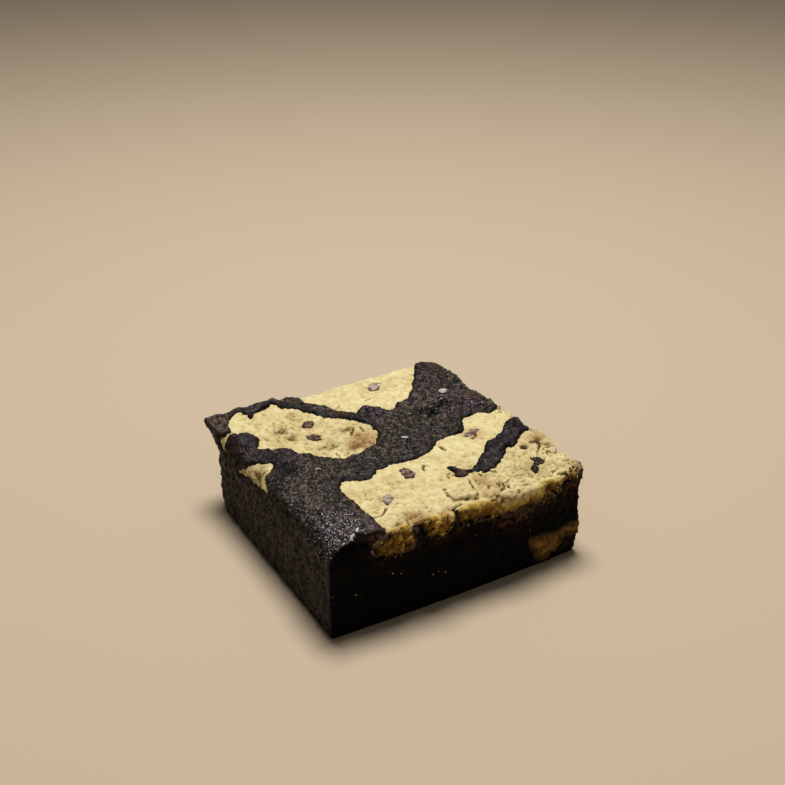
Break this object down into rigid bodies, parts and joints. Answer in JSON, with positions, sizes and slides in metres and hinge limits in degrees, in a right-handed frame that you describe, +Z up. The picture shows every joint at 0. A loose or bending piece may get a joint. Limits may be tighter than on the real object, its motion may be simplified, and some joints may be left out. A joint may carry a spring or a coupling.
{
  "type": "brookie slice",
  "caption": "Square slice of brookie: a dark baked brownie with pale marbled cookie dough on top, cut on two sides and baked against the tin on the other two.",
  "frame": {"origin": "middle of the base, at the centre of the bounding box in plan", "axes": "+Z up out of the baked top; -Y out of the front knife cut and +X out of the right knife cut; -X and +Y out of the sides that baked against the tin"},
  "size_m": [0.075, 0.075, 0.0269],
  "materials": {
    "brownie": "baked chocolate brownie: near-black brown, grainy crust with a fine greasy sparkle on top, darker and moister on the knife cuts",
    "cookie_dough": "baked cookie dough: pale straw yellow, matt and crumbly, with fine cracks, browned in places and orange brown on the cut sides",
    "chocolate": "half-melted dark chocolate pieces with a dull bloom"
  },
  "bodies": {
    "root": {"brownie": "brownie", "cookie_front": "cookie_dough", "cookie_left": "cookie_dough", "cookie_back": "cookie_dough", "cookie_edge": "cookie_dough", "cookie_lower": "cookie_dough"}
  },
  "joints": []
}
